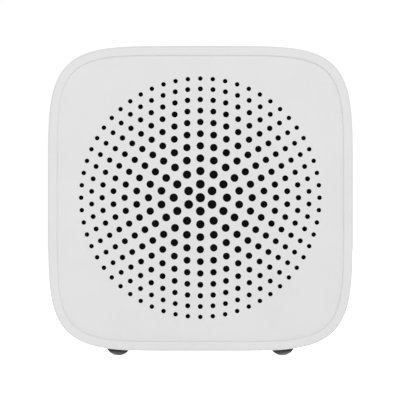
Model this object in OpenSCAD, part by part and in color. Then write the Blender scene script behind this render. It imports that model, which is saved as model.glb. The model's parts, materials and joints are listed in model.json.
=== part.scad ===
// Small cube-shaped smart speaker, in millimetres.
// +Z is up, the front faces -Y, and the origin is on the table under the middle of the case.

/* [Case] */
// Width and height of the square front face
face_size = 90; // [90:1:98]
// Depth of the case from front rim to rear cover
body_depth = 80; // [80:1:92]
// Roundness of the case outline: 2 is a circle, larger is squarer
corner_power = 5.156; // [4.8:0.05:5.8]
// Thickness of the case wall
wall = 2.2; // [2:0.1:2.3]
// Width of the rim that frames the front panel
rim_width = 2.7; // [2.6:0.05:3.1]
// Radius of the edge round the front rim
front_edge = 0.8; // [0.4:0.1:1.2]
// Radius of the edge round the back of the case
rear_edge = 6; // [4:0.5:6]

/* [Front panel] */
// Depth of the panel's face below the rim
panel_recess = 0.5; // [0.2:0.1:0.8]
// Thickness of the panel
panel_t = 1.8; // [1.4:0.1:2]
// Gap between the panel and the rim
panel_gap = 0.12; // [0.05:0.01:0.2]
// Number of rings of holes round the centre hole
rings = 10; // [6:1:10]
// Pitch of the rings at the centre
ring_pitch = 4.0355; // [3.8:0.01:4.1]
// How much the pitch shrinks towards the outside
ring_shrink = 0.0518; // [0.04:0.001:0.06]
// Diameter of the centre hole
hole_centre_d = 2.78; // [2:0.02:2.8]
// How much smaller the holes of each next ring are
hole_step = 0.142; // [0.08:0.002:0.15]
// Height of the middle hole above the middle of the panel
pattern_lift = 0.24; // [0:0.02:0.4]

/* [Controls] */
// Diameter of the control disc on the top
disc_d = 40; // [40:0.5:41]
// Depth of the disc below the top of the case
disc_recess = 0.4; // [0.2:0.1:0.6]
// Diameter of a key
key_d = 9; // [8:0.5:10]
// Distance of the keys from the middle of the disc
key_orbit = 12; // [11.5:0.1:12.2]
// How far a key goes down
key_travel = 0.4; // [0.2:0.05:0.5]

/* [Feet] */
// Height of the feet under the case
foot_height = 1.45; // [1:0.05:2]
// Distance of the feet from the middle, left and right
foot_x = 24.3; // [20:0.1:26]
// Distance of the feet from the middle, front and back
foot_y = 25; // [22:0.5:25.5]
// Radius of the dome of a foot
foot_dome = 3.9; // [3.8:0.05:4.2]

/* [Loudspeaker] */
// Radius of the driver's mounting flange
flange_r = 27; // [27:0.1:27.5]
// Radius of the cone at its front edge
cone_r = 17.3; // [17:0.1:17.5]
// Outer radius of the voice coil winding
coil_r = 8.45; // [8.3:0.01:8.5]
// Outer radius of the magnet
magnet_r = 20; // [18.5:0.5:22]

/* [Power socket] */
// Radius of the socket's bore
socket_r = 3.15; // [3:0.05:3.2]
// Radius of the socket's centre pin
pin_r = 1.05; // [0.9:0.05:1.1]

/* [Hidden] */

eps = 0.01;                 // overshoot of a cut past the face it opens
outline_sides = 64;         // corners of the case outline
half = face_size / 2;
zc = foot_height + half;    // height of the middle of the front face
bulge = pow(2, 0.5 - 1 / corner_power);

// Planes across the case, from the front to the back
y_front = -body_depth / 2;
y_rear = body_depth / 2;
y_panel = y_front + panel_recess;
y_cloth = y_panel + panel_t;
cloth_t = 0.3;
y_ring = y_cloth + cloth_t;
cloth_ring_t = 1.2;
y_seat = y_ring + cloth_ring_t;
seat_h = 3.8;
y_baffle = y_seat + seat_h;
baffle_t = 2.5;
y_ledge = y_baffle + baffle_t;
seal_t = 0.8;
y_flange = y_ledge + seal_t;
flange_t = 4.5;
y_box_back = y_rear - 24;
box_wall = 2;
y_board = y_box_back + 4;
board_t = 1.6;
y_board_back = y_board + board_t;
cover_t = 2.2;
y_cover = y_rear - cover_t;
post_h = 2.2;
y_post = y_cover - post_h;

// Insets of nested outlines, measured in from the case outline
panel_inset = rim_width + panel_gap;
baffle_inset = 4;
ledge_inset = 5.5;
ledge_t = 2;
flange_inset = ledge_inset + 0.3;
seal_inset = flange_inset + 0.3;
rebate_inset = rear_edge + 0.5;
cover_inset = rebate_inset + 0.12;
rear_seat_inset = 9;
lip_inset = rear_seat_inset + 0.3;
lip_t = 1.5;
lip_h = 2;
rear_seat_t = 2;
seat_slope = 2.4;           // how far the rear seat ring blends out to the wall
catch_y = y_front + 3.4;    // plane behind which the front panel's hooks catch

// Hooks of the front panel, two to a side
hook_x = 14;
hook_w = 5;
hook_t = 1;
hook_gap = 0.4;             // gap between a hook's arm and the rim
barb = 0.6;
barb_l = 1.6;

// Rear cover's blank label area
label_area = [-17, 17, -6, 12];
label_depth = 0.3;

// Speaker box: half width, bottom and top, from the middle of the face
box_x = 36;
box_low = -36;
box_high = 33;
box_corner = 6;

// Screws
cover_screw_x = 30;
cover_screw_z = 29;
cover_boss_r = 3.2;
cover_hole_r = 1.25;
cover_head_r = 2.4;
cover_well_r = 2.6;
cover_head_h = 1.5;
cover_well_y = y_rear - 3.2;
cover_grip = 9;             // length of a cover screw in its boss
baffle_screw_far = 37;
baffle_screw_near = 20;
m2_r = 1;
m2_head_r = 1.8;
m2_head_h = 1.2;
pilot_gap = 0.05;
board_post_x = 22;
board_post_r = 2.4;

// Feet, as heights above the table
foot_collar_r = 3.65;
foot_stem_r = 1.4;
foot_seat = foot_height + 1.5;
foot_tip_cut = 0.06;        // how much of the dome's tip is flat
foot_inside = foot_height + wall + 0.75;
foot_gap = 0.12;
barb_r = [2.1, 1.2];        // barb on the stem, below and at its tip

// Cloth and its ring, and the ring they press on
cloth_r = 38;
ring_inner_r = 35.6;

// Driver, measured back from the front of the baffle
basket_r = 23.3;
frame_neck_r = 17.8;
gasket_t = 0.8;
y_plate = y_baffle - gasket_t - 1;      // front of the driver's flange
y_spider = y_plate + 9.8;
y_gap = y_plate + 12.2;                 // front of the top plate
top_plate_t = 2.5;
magnet_t = 6;
y_magnet = y_gap + top_plate_t;
y_yoke = y_magnet + magnet_t;
yoke_t = 2.5;
former_r = coil_r - 0.5;
former_wall = 0.2;
pole_r = former_r - former_wall - 0.35;
gap_r = coil_r + 0.3;
driver_screw_orbit = 25.2;
driver_head_r = 1.6;
driver_boss_r = 1.9;
driver_boss_h = 3;
driver_grip = 2;
window = [12, 4.6, 16];                 // opening in each side of the frame
terminal = [9, 1.4, 4.4];
terminal_z = 19.4;
tinsel_r = 0.3;
lead_r = 0.45;
sheet_t = 0.4;                          // thickness of the surround and the spider
cone_t = 0.5;
cone_neck_y = y_plate + 5.6;
roll_r = 1.9;
roll_orbit = cone_r + 2.1;

// Controls, as heights above the middle of the face
disc_top = half - disc_recess;
disc_t = 1.2;
disc_under = disc_top - disc_t;
frame_t = 1.6;
frame_r = 24;
frame_bore_r = 18.6;
top_inside = half - wall;
key_proud = 0.3;
key_gap = 0.2;
key_flange_t = 0.8;
key_lip = 0.8;
key_flange_top = disc_under - 0.1;
key_stem_r = 1.6;
key_board_top = half - 6.9;
key_board_t = 1.6;
key_board_r = 22.5;
switch_size = 6;
switch_h = 2;
plunger_r = 1;
plunger_top = key_board_top + switch_h + key_travel + 0.4;
plunger_h = key_travel + 1.2;
well_floor = key_board_top + 0.5;       // floor of the bores in the switches and microphones
mic_orbit = 15.5;
mic_port_r = 0.6;
mic_h = 1;
mic_size = [3.5, 2.6];
mic_boot_r = 1.8;
frame_screw_orbit = 20.2;
frame_boss_r = 2;
frame_pilot = 3.2;          // length of a key board screw in its boss
guide_r = 1.2;
guide_lip = 0.8;
led_h = 0.8;
led_w = 1.6;
led_x = 1.1;

// Main board and what stands on it
board_half_x = 33;
board_half_z = 32;
notch_x = 25.6;
notch_z = 24.6;
can_at = [-15, 10];
can_size = [22, 20];
can_t = 0.3;
can_h = 2.4;
plug_at = [26, 5];          // where the driver's leads plug in
plug_size = [6, 7.5];
lead_hole = [16, 20];       // where the leads leave the speaker box
lead_hole_r = 1.6;
socket_z = -24;
socket_depth = 10;
socket_body = [10, 11];
socket_nose_r = 4.2;
y_socket_body = y_cover - 1.4;
y_socket_mouth = y_rear - 0.4;
y_socket_floor = y_socket_mouth - socket_depth;

// Flat cable from the key board over the top of the main board
flat_x = 4;                 // half its width
flat_t = 0.2;
flat_bend = 2;
flat_start = 17.2;
flat_z = key_board_top - key_board_t - 1.1;
flat_y = y_board_back + 1;
flat_socket_top = 30;

// Middle of the pair of leads, as [x, y, height above the middle of the face],
// and how far the red lead lies from it
lead_route = [
    [[0, y_spider + 1.6, 20.6], [2.4, 0, 0]],
    [[0, y_spider + 3.4, 20.6], [2.4, 0, 0]],
    [[2.5, y_yoke - 1, 24], [1.6, 0, -0.6]],
    [[10, y_yoke + 6, 25], [0.4, 0, -0.8]],
    [[lead_hole[0], y_box_back - 12, 22], [0, 0, -0.75]],
    [[lead_hole[0], y_box_back - 6, lead_hole[1]], [0, 0, -0.7]],
    [[lead_hole[0], y_box_back + 0.6, lead_hole[1]], [0, 0, -0.7]],
    [[lead_hole[0] + 2.6, y_box_back + 2, lead_hole[1]], [0, 0, -0.7]],
    [[board_half_x - 6, y_box_back + 2, lead_hole[1] - 1], [0, 0, -0.75]],
    [[board_half_x + 2.4, y_board - 0.6, 17], [0.3, 0, -0.75]],
    [[board_half_x + 2.6, y_board_back + 1.6, 14.6], [0.3, 0, -0.75]],
    [[board_half_x - 2, y_board_back + 2.6, 11.8], [0.4, 0, -0.8]]
];

// ---------- helpers ----------

// Power of the outline that runs parallel to the case outline, this far inside it
function power_at(inset) =
    1 / (0.5 - ln((half * bulge - inset) / (half - inset)) / ln(2));

// Points of the outline that runs this far inside the case outline
function outline(inset) =
    let (a = half - inset, p = 2 / power_at(inset))
    [for (i = [0:outline_sides - 1])
        let (t = 360 * i / outline_sides, c = cos(t), s = sin(t))
        [a * sign(c) * pow(abs(c), p), a * sign(s) * pow(abs(s), p)]];

// Points of a quarter round in inset and depth, turning from a0 to a1
function edge_arc(inset, y, r, a0, a1, steps) =
    [for (i = [0:steps]) let (a = a0 + (a1 - a0) * i / steps) [inset - r * cos(a), y + r * sin(a)]];

// Corner cutting that softens a route without moving its ends
function soften(p) =
    [p[0],
     for (i = [0:len(p) - 2]) each [0.75 * p[i] + 0.25 * p[i + 1], 0.25 * p[i] + 0.75 * p[i + 1]],
     p[len(p) - 1]];

function unit(v) = v / norm(v);

// Centre of ring k of the front holes, and the size of its holes
function ring_r(k) = ring_pitch * k - ring_shrink * k * k;
function hole_r(k) = (hole_centre_d - hole_step * k) / 2;

// Puts children in the frame of the face: origin in the middle, Z still up
module face() {
    translate([0, 0, zc]) children();
}

// Children drawn in X and Z, extruded from depth y0 to y1
module slab(y0, y1) {
    face() translate([0, y1, 0]) rotate([90, 0, 0]) linear_extrude(y1 - y0) children();
}

// Round rod along Y
module rod(x, z, y0, y1, r) {
    face() translate([x, y1, z]) rotate([90, 0, 0]) cylinder(r = r, h = y1 - y0, $fn = 48);
}

// Round rod along Z, between heights above the middle of the face
module post(x, y, z0, z1, r) {
    face() translate([x, y, z0]) cylinder(r = r, h = z1 - z0, $fn = 48);
}

// Box between two depths, centred on x and z
module block(x, z, y0, y1, size) {
    slab(y0, y1) translate([x, z]) square(size, center = true);
}

// Solid turned about the driver's axis from a profile of [radius, depth]
module turned(profile) {
    face() rotate([90, 0, 0])
        rotate_extrude($fn = 96) polygon([for (p = profile) [p[0], -p[1]]]);
}

module disc_ring(outer, inner, y0, y1) {
    difference() {
        rod(0, 0, y0, y1, outer);
        rod(0, 0, y0 - eps, y1 + eps, inner);
    }
}

// Rectangle with round corners
module rounded(x0, x1, z0, z1, r) {
    translate([x0 + r, z0]) square([x1 - x0 - 2 * r, z1 - z0]);
    translate([x0, z0 + r]) square([x1 - x0, z1 - z0 - 2 * r]);
    for (x = [x0 + r, x1 - r], z = [z0 + r, z1 - r]) translate([x, z]) circle(r = r, $fn = 48);
}

// Closed ring-shaped shell, swept round the case outline from a profile of [inset, depth]
module swept_shell(profile) {
    n = outline_sides;
    m = len(profile);
    points = [for (p = profile, q = outline(p[0])) [q[0], p[1], q[1]]];
    faces = [for (i = [0:m - 1], j = [0:n - 1], k = [0, 1])
        let (a = i * n + j, b = i * n + (j + 1) % n,
             c = ((i + 1) % m) * n + (j + 1) % n, d = ((i + 1) % m) * n + j)
        k == 0 ? [a, b, c] : [a, c, d]];
    face() polyhedron(points, faces);
}

// Wire swept along a route, whose points are [x, y, height above the middle of the face]
module wire(route, r, up, sides = 8) {
    p = soften(soften(route));
    n = len(p);
    points = [for (i = [0:n - 1])
        let (d = unit(p[min(i + 1, n - 1)] - p[max(i - 1, 0)]), u = unit(cross(d, up)), v = cross(d, u))
        for (k = [0:sides - 1]) p[i] + r * (cos(360 * k / sides) * u + sin(360 * k / sides) * v)];
    walls = [for (i = [0:n - 2], k = [0:sides - 1])
        [i * sides + k, i * sides + (k + 1) % sides,
         (i + 1) * sides + (k + 1) % sides, (i + 1) * sides + k]];
    ends = [[for (k = [sides - 1:-1:0]) k], [for (k = [0:sides - 1]) (n - 1) * sides + k]];
    face() polyhedron(points, concat(walls, ends));
}

module four(x, z) {
    for (sx = [-1, 1], sz = [-1, 1]) translate([sx * x, 0, sz * z]) children();
}

// Screw along Y with its head at the back
module screw_in(y_head, head_h, head_r, y_tip, r) {
    rod(0, 0, y_head, y_head + head_h, head_r);
    rod(0, 0, y_tip, y_head + eps, r);
}

// Cross recess of a screw, opening towards +Y at depth y
module cross_recess(y, size) {
    for (a = [0, 90])
        face() rotate([0, a, 0]) translate([-size / 2, y - 0.7, -0.25]) cube([size, 0.7 + eps, 0.5]);
}

// ---------- case ----------

module main_shell() {
    profile = concat(
        [[rim_width, y_front + 0.25], [rim_width - 0.25, y_front]],
        edge_arc(front_edge, y_front + front_edge, front_edge, -90, 0, 4),
        edge_arc(rear_edge, y_rear - rear_edge, rear_edge, 0, 90, 6),
        [[rebate_inset, y_rear], [rebate_inset, y_cover],
         [rear_seat_inset, y_cover], [rear_seat_inset, y_cover - rear_seat_t],
         [wall + seat_slope, y_cover - rear_seat_t], [wall, y_cover - rear_seat_t - seat_slope],
         [wall, y_ledge + ledge_t], [ledge_inset, y_ledge + ledge_t],
         [ledge_inset, y_ledge], [wall, y_ledge],
         [wall, catch_y], [rim_width, catch_y]]);
    color("whitesmoke") difference() {
        swept_shell(profile);
        post(0, 0, top_inside - 1, half + 1, disc_d / 2 + 0.15);
        post(0, 0, top_inside - 1, top_inside, frame_r + 0.2);
        feet_cuts();
    }
}

module feet_cuts() {
    for (sx = [-1, 1], sy = [-1, 1]) translate([sx * foot_x, sy * foot_y, 0]) {
        translate([0, 0, -eps]) cylinder(r = foot_collar_r + foot_gap, h = foot_seat + eps, $fn = 48);
        cylinder(r = foot_stem_r + foot_gap, h = foot_seat + 2 * wall, $fn = 48);
    }
}

module foot(sx, sy) {
    dome_top = foot_dome - foot_tip_cut;
    collar_z = dome_top - sqrt(foot_dome * foot_dome - foot_collar_r * foot_collar_r);
    color("dimgray") translate([sx * foot_x, sy * foot_y, 0]) {
        intersection() {
            translate([0, 0, dome_top]) sphere(r = foot_dome, $fn = 64);
            cylinder(r = foot_dome, h = collar_z, $fn = 64);
        }
        translate([0, 0, collar_z]) cylinder(r = foot_collar_r, h = foot_seat - collar_z, $fn = 48);
        translate([0, 0, foot_seat - eps])
            cylinder(r = foot_stem_r, h = foot_inside - foot_seat + 2 * eps, $fn = 48);
        translate([0, 0, foot_inside]) cylinder(r1 = barb_r[0], r2 = barb_r[1], h = 1.4, $fn = 48);
    }
}

module foot_front_left() foot(-1, -1);
module foot_front_right() foot(1, -1);
module foot_rear_left() foot(-1, 1);
module foot_rear_right() foot(1, 1);

module hole_pattern() {
    translate([0, pattern_lift]) {
        circle(r = hole_r(0), $fn = 24);
        for (k = [1:rings], i = [0:6 * k - 1])
            rotate(90 + 60 * i / k) translate([ring_r(k), 0]) circle(r = hole_r(k), $fn = 24);
    }
}

// Hook on the back of the front panel, at the top of the face
module panel_hook(x) {
    outer = half - rim_width - hook_gap;
    root = y_cloth - eps;
    y_barb = catch_y + 0.1;
    tip = y_barb + barb_l;
    face() translate([x - hook_w / 2, 0, 0]) rotate([90, 0, 90]) linear_extrude(hook_w)
        polygon([[root, outer - hook_t], [root, outer], [y_barb, outer], [y_barb, outer + barb],
                 [tip, outer - 0.2], [tip, outer - hook_t]]);
}

module front_grille() {
    color("whitesmoke") union() {
        slab(y_panel, y_cloth) difference() {
            polygon(outline(panel_inset));
            hole_pattern();
        }
        for (a = [0:90:270], x = [-hook_x, hook_x])
            face() rotate([0, a, 0]) translate([0, 0, -zc]) panel_hook(x);
    }
}

module grille_cloth() {
    color("black") rod(0, 0, y_cloth, y_ring, cloth_r);
}

module cloth_ring() {
    color("dimgray") disc_ring(cloth_r, ring_inner_r, y_ring, y_seat);
}

module rear_cover() {
    color("gainsboro") difference() {
        union() {
            slab(y_cover, y_rear) polygon(outline(cover_inset));
            slab(y_cover - lip_h, y_cover + eps) difference() {
                polygon(outline(lip_inset));
                polygon(outline(lip_inset + lip_t));
            }
            four(cover_screw_x, cover_screw_z) rod(0, 0, y_post, y_cover + eps, cover_boss_r + 0.4);
        }
        four(cover_screw_x, cover_screw_z) {
            rod(0, 0, cover_well_y, y_rear + eps, cover_well_r);
            rod(0, 0, y_post - eps, y_rear, cover_hole_r + 0.15);
        }
        rod(0, socket_z, y_cover - eps, y_rear + eps, socket_nose_r + 0.2);
        slab(y_rear - label_depth, y_rear + eps)
            rounded(label_area[0], label_area[1], label_area[2], label_area[3], 2);
    }
}

module cover_screws() {
    color("dimgray") four(cover_screw_x, cover_screw_z) difference() {
        screw_in(cover_well_y, cover_head_h, cover_head_r, y_post - cover_grip, cover_hole_r - pilot_gap);
        cross_recess(cover_well_y + cover_head_h, cover_head_r);
    }
}

// ---------- controls ----------

// Places of the keys round the disc: play at the front, mute at the back
play_at = [0, -key_orbit];
mute_at = [0, key_orbit];
down_at = [-key_orbit, 0];
up_at = [key_orbit, 0];
keys_at = [play_at, mute_at, down_at, up_at];
mics_at = [for (a = [135, 315]) mic_orbit * [cos(a), sin(a)]];
frame_screws_at = [for (a = [22.5:90:292.5]) frame_screw_orbit * [cos(a), sin(a)]];

module key_frame() {
    color("darkgray") difference() {
        union() {
            post(0, 0, top_inside - frame_t, top_inside, frame_r);
            post(0, 0, top_inside - eps, disc_under, disc_d / 2);
            for (p = frame_screws_at) post(p[0], p[1], key_board_top, top_inside - eps, frame_boss_r);
        }
        post(0, 0, top_inside - frame_t - eps, disc_under + eps, frame_bore_r);
        for (p = frame_screws_at)
            post(p[0], p[1], key_board_top - eps, key_board_top + frame_pilot + 0.4, m2_r + pilot_gap);
    }
}

module control_panel() {
    color("gainsboro") difference() {
        post(0, 0, disc_under, disc_top, disc_d / 2);
        for (p = keys_at) post(p[0], p[1], disc_under - eps, disc_top + eps, key_d / 2 + key_gap);
        for (p = mics_at) post(p[0], p[1], disc_under - eps, disc_top + eps, mic_port_r);
        post(0, 0, disc_under - eps, disc_top + eps, guide_r + pilot_gap);
    }
}

module key(at) {
    color("white") {
        post(at[0], at[1], key_flange_top - eps, disc_top + key_proud, key_d / 2);
        post(at[0], at[1], key_flange_top - key_flange_t, key_flange_top, key_d / 2 + key_lip);
        post(at[0], at[1], plunger_top, key_flange_top - key_flange_t + eps, key_stem_r);
    }
}

module play_key() key(play_at);
module mute_key() key(mute_at);
module volume_down_key() key(down_at);
module volume_up_key() key(up_at);

module plunger(at) {
    color("dimgray") post(at[0], at[1], plunger_top - plunger_h, plunger_top, plunger_r);
}

module play_plunger() plunger(play_at);
module mute_plunger() plunger(mute_at);
module volume_down_plunger() plunger(down_at);
module volume_up_plunger() plunger(up_at);

module light_guide() {
    color("white") {
        post(0, 0, key_board_top + led_h + 0.3, disc_top, guide_r);
        post(0, 0, disc_under - guide_lip, disc_under, guide_r + guide_lip);
    }
}

module key_board() {
    color("darkgreen") difference() {
        post(0, 0, key_board_top - key_board_t, key_board_top, key_board_r);
        for (p = frame_screws_at)
            post(p[0], p[1], key_board_top - key_board_t - eps, key_board_top + eps, m2_r + 0.1);
    }
}

module switch_bodies() {
    color("silver") for (p = keys_at) difference() {
        face() translate([p[0] - switch_size / 2, p[1] - switch_size / 2, key_board_top])
            cube([switch_size, switch_size, switch_h]);
        post(p[0], p[1], well_floor, key_board_top + switch_h + eps, plunger_r + pilot_gap);
    }
}

module microphones() {
    color("goldenrod") for (p = mics_at) difference() {
        face() translate([p[0] - mic_size[0] / 2, p[1] - mic_size[1] / 2, key_board_top])
            cube([mic_size[0], mic_size[1], mic_h]);
        post(p[0], p[1], well_floor, key_board_top + mic_h + eps, mic_port_r / 2);
    }
}

module mic_boots() {
    color("black") for (p = mics_at) difference() {
        post(p[0], p[1], key_board_top + mic_h, disc_under, mic_boot_r);
        post(p[0], p[1], key_board_top + mic_h - eps, disc_under + eps, mic_port_r);
    }
}

module status_leds() {
    color("lightyellow") for (x = [-led_x, led_x])
        face() translate([x - led_w / 2, -led_w / 2, key_board_top]) cube([led_w, led_w, led_h]);
}

module key_connector() {
    color("ivory") face() translate([-flat_x - 1, flat_start - 3.6, key_board_top - key_board_t - 2])
        cube([2 * flat_x + 2, 3.6, 2]);
}

module key_flat_cable() {
    color("lightsteelblue") face()
        translate([-flat_x, 0, 0]) rotate([90, 0, 90]) linear_extrude(2 * flat_x) {
        bend_z = flat_z - flat_bend;
        bend_y = flat_y - flat_bend;
        translate([flat_start, flat_z]) square([bend_y - flat_start, flat_t]);
        translate([flat_y, flat_socket_top]) square([flat_t, bend_z - flat_socket_top]);
        translate([bend_y, bend_z]) intersection() {
            difference() {
                circle(r = flat_bend + flat_t, $fn = 64);
                circle(r = flat_bend, $fn = 64);
            }
            square(flat_bend + 1);
        }
    }
}

module key_board_screws() {
    low = key_board_top - key_board_t;
    color("silver") for (p = frame_screws_at) {
        post(p[0], p[1], low - m2_head_h, low, m2_head_r);
        post(p[0], p[1], low - eps, key_board_top + frame_pilot, m2_r);
    }
}

// ---------- baffle and speaker box ----------

module baffle_screw_places() {
    four(baffle_screw_far, baffle_screw_near) children();
    four(baffle_screw_near, baffle_screw_far) children();
}

module driver_screw_places() {
    for (a = [45:90:315])
        translate([driver_screw_orbit * cos(a), 0, driver_screw_orbit * sin(a)]) children();
}

module baffle() {
    color("black") difference() {
        union() {
            slab(y_baffle, y_ledge) polygon(outline(baffle_inset));
            disc_ring(cloth_r, ring_inner_r, y_seat, y_baffle + eps);
            driver_screw_places() rod(0, 0, y_ledge - eps, y_ledge + driver_boss_h, driver_boss_r);
        }
        rod(0, 0, y_baffle - eps, y_ledge + eps, basket_r + 0.3);
        baffle_screw_places() rod(0, 0, y_baffle - eps, y_ledge + eps, m2_r + 0.2);
        driver_screw_places() rod(0, 0, y_baffle - eps, y_ledge + driver_grip + 0.4, m2_r + pilot_gap);
    }
}

module baffle_screws() {
    color("silver") baffle_screw_places() {
        rod(0, 0, y_baffle - m2_head_h, y_baffle, m2_head_r);
        rod(0, 0, y_baffle - eps, y_flange + 3.4, m2_r);
    }
}

module box_section(grow) {
    rounded(-box_x - grow, box_x + grow, box_low - grow, box_high + grow, box_corner + grow);
}

module rear_chamber() {
    color("dimgray") difference() {
        union() {
            slab(y_flange, y_flange + flange_t) polygon(outline(flange_inset));
            slab(y_flange, y_box_back) box_section(0);
            four(cover_screw_x, cover_screw_z) rod(0, 0, y_box_back - eps, y_post, cover_boss_r);
            four(board_post_x, cover_screw_z) rod(0, 0, y_box_back - eps, y_board, board_post_r);
        }
        slab(y_flange - eps, y_box_back - box_wall) box_section(-box_wall);
        baffle_screw_places() rod(0, 0, y_flange - eps, y_flange + 3.8, m2_r + pilot_gap);
        four(cover_screw_x, cover_screw_z) rod(0, 0, y_post - cover_grip - 0.6, y_post + eps, cover_hole_r);
        four(board_post_x, cover_screw_z)
            rod(0, 0, y_box_back + 0.4, y_board + eps, m2_r + pilot_gap);
        rod(lead_hole[0], lead_hole[1], y_box_back - box_wall - eps, y_box_back + eps, lead_hole_r);
    }
}

module chamber_seal() {
    color("black") slab(y_ledge, y_flange) difference() {
        polygon(outline(seal_inset));
        box_section(-box_wall);
        for (s = [-1, 1], t = [-1, 1]) {
            translate([s * baffle_screw_far, t * baffle_screw_near]) circle(r = m2_r + 0.1, $fn = 24);
            translate([s * baffle_screw_near, t * baffle_screw_far]) circle(r = m2_r + 0.1, $fn = 24);
        }
    }
}

// ---------- loudspeaker driver ----------

module driver_gasket() {
    color("black") difference() {
        disc_ring(flange_r, basket_r + 0.5, y_baffle - gasket_t, y_baffle);
        driver_screw_places() rod(0, 0, y_baffle - gasket_t - eps, y_baffle + eps, m2_r + 0.1);
    }
}

module driver_frame() {
    seat_r = cone_r + 3.9;      // inner edge of the flange, where the surround is glued
    ledge_r = [14.6, 16.9];     // ledge of the spider
    color("slategray") difference() {
        turned([
            [seat_r, y_plate], [flange_r, y_plate], [flange_r, y_plate + 1], [basket_r, y_plate + 1],
            [basket_r, y_plate + 3.6], [frame_neck_r, y_spider - 0.2], [frame_neck_r, y_gap],
            [gap_r + 0.8, y_gap], [gap_r + 0.8, y_gap - 0.9], [ledge_r[0], y_gap - 0.9],
            [ledge_r[0], y_spider], [ledge_r[1], y_spider], [ledge_r[1], y_spider - 0.8],
            [basket_r - 0.9, y_plate + 3.2], [basket_r - 0.9, y_plate + 0.8],
            [seat_r, y_plate + 0.8]]);
        for (a = [0:90:270])
            face() rotate([0, a, 0]) translate([15, y_plate + 3.4, -window[2] / 2]) cube(window);
        driver_screw_places() rod(0, 0, y_plate - eps, y_plate + 1 + eps, m2_r + 0.1);
    }
}

module driver_screws() {
    color("silver") driver_screw_places() {
        rod(0, 0, y_plate - m2_head_h, y_plate, driver_head_r);
        rod(0, 0, y_plate - eps, y_ledge + driver_grip, m2_r);
    }
}

module driver_terminal() {
    color("peru") difference() {
        block(0, terminal_z, y_spider + 0.2, y_spider + 0.2 + terminal[1], [terminal[0], terminal[2]]);
        rod(0, 0, y_spider, y_spider + 2, frame_neck_r);
    }
}

// Half roll of the surround, in radius and minus depth
module surround() {
    color("black") face() rotate([90, 0, 0]) rotate_extrude($fn = 96) {
        translate([roll_orbit + roll_r, -y_plate]) square([1.9, sheet_t]);
        translate([cone_r - 1.5, -y_plate]) square([roll_orbit - roll_r - cone_r + 1.5, sheet_t]);
        translate([roll_orbit, -y_plate]) intersection() {
            difference() {
                circle(r = roll_r + sheet_t / 2, $fn = 48);
                circle(r = roll_r - sheet_t / 2, $fn = 48);
            }
            translate([-roll_r - 1, 0]) square([2 * roll_r + 2, roll_r + 1]);
        }
    }
}

module cone() {
    color("dimgray") turned([
        [former_r, cone_neck_y - cone_t], [former_r, cone_neck_y], [former_r + 0.8, cone_neck_y],
        [cone_r - 1.2, y_plate + cone_t], [cone_r, y_plate + cone_t], [cone_r, y_plate],
        [cone_r - 1.4, y_plate], [former_r + 0.6, cone_neck_y - cone_t]]);
}

// Dome glued over the neck of the cone
module dust_cap() {
    cap_r = 10.4;
    rise = 3;
    sphere_r = (cap_r * cap_r + rise * rise) / (2 * rise);
    y_foot = y_plate + 3.6;
    color("black") difference() {
        intersection() {
            face() translate([0, y_foot - rise + sphere_r, 0]) sphere(r = sphere_r, $fn = 96);
            rod(0, 0, y_foot - rise - 1, y_foot, cap_r);
        }
        face() translate([0, y_foot - rise + sphere_r, 0]) sphere(r = sphere_r - sheet_t, $fn = 96);
    }
}

module coil_former() {
    color("peru") disc_ring(former_r, former_r - former_wall, cone_neck_y - cone_t, y_magnet + 2);
}

module coil_winding() {
    color("orangered") disc_ring(coil_r, former_r, y_gap - 0.9, y_magnet + 0.9);
}

// Corrugated disc from the former out to the ledge of the frame
module spider() {
    waves = 3;
    wave_r0 = former_r + 0.9;
    wave_r1 = 14.4;
    steps = 36;
    wave_h = 0.35;
    front = [for (i = [0:steps]) let (t = i / steps)
        [wave_r0 + t * (wave_r1 - wave_r0),
         y_spider - sheet_t - wave_h * (1 - cos(360 * waves * t))]];
    back = [for (i = [steps:-1:0]) [front[i][0], front[i][1] + sheet_t]];
    color("darkkhaki") turned(concat(
        [[former_r, y_spider - sheet_t]], front, [[16.7, y_spider - sheet_t], [16.7, y_spider]],
        back, [[former_r, y_spider]]));
}

// Braided leads from the back of the cone out to the terminal strip
module tinsel_leads() {
    y_eyelet = y_plate + cone_t + 1.85;
    color("goldenrod") for (s = [-1, 1])
        wire([[s * 2.2, y_eyelet, 13.6], [s * 2.2, y_eyelet + 0.8, 13.6], [s * 2.6, cone_neck_y, 15.2],
              [s * 3, cone_neck_y + 1.4, 18], [s * 3, cone_neck_y + 1.8, 20.6],
              [s * 3, y_spider - 1, 20.6], [s * 3, y_spider + 0.2, 20.6]], tinsel_r, [1, 0, 0]);
}

module top_plate() {
    color("silver") disc_ring(17, gap_r, y_gap, y_magnet);
}

module magnet() {
    color("dimgray") disc_ring(magnet_r, gap_r + 1, y_magnet, y_yoke);
}

module yoke() {
    color("silver") {
        rod(0, 0, y_yoke, y_yoke + yoke_t, 18.4);
        rod(0, 0, y_gap, y_yoke + eps, pole_r);
    }
}

// Wire from the driver's terminal strip to its plug on the main board. side is 1 or -1.
module lead(side, hue) {
    plug_top = [plug_at[0] + 1.2 * side, y_board_back + 2.4, plug_at[1] + plug_size[1] / 2];
    above_plug = plug_top + [0, 0, 1.8 - 0.9 * side];
    color(hue) wire(
        concat([for (p = lead_route) p[0] + side * p[1]], [above_plug, plug_top]),
        lead_r, [0.3, -0.6, 0.75]);
}

module lead_red() lead(1, "firebrick");
module lead_black() lead(-1, "black");

// ---------- electronics ----------

module main_board() {
    color("darkgreen") slab(y_board, y_board_back) difference() {
        square([2 * board_half_x, 2 * board_half_z], center = true);
        for (sx = [-1, 1], sz = [-1, 1]) {
            translate([sx * (notch_x + 10), sz * (notch_z + 10)]) square(20, center = true);
            translate([sx * board_post_x, sz * cover_screw_z]) circle(r = m2_r + 0.1, $fn = 24);
        }
    }
}

module board_screws() {
    color("silver") four(board_post_x, cover_screw_z)
        screw_in(y_board_back, m2_head_h, m2_head_r, y_box_back + 0.8, m2_r);
}

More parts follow.
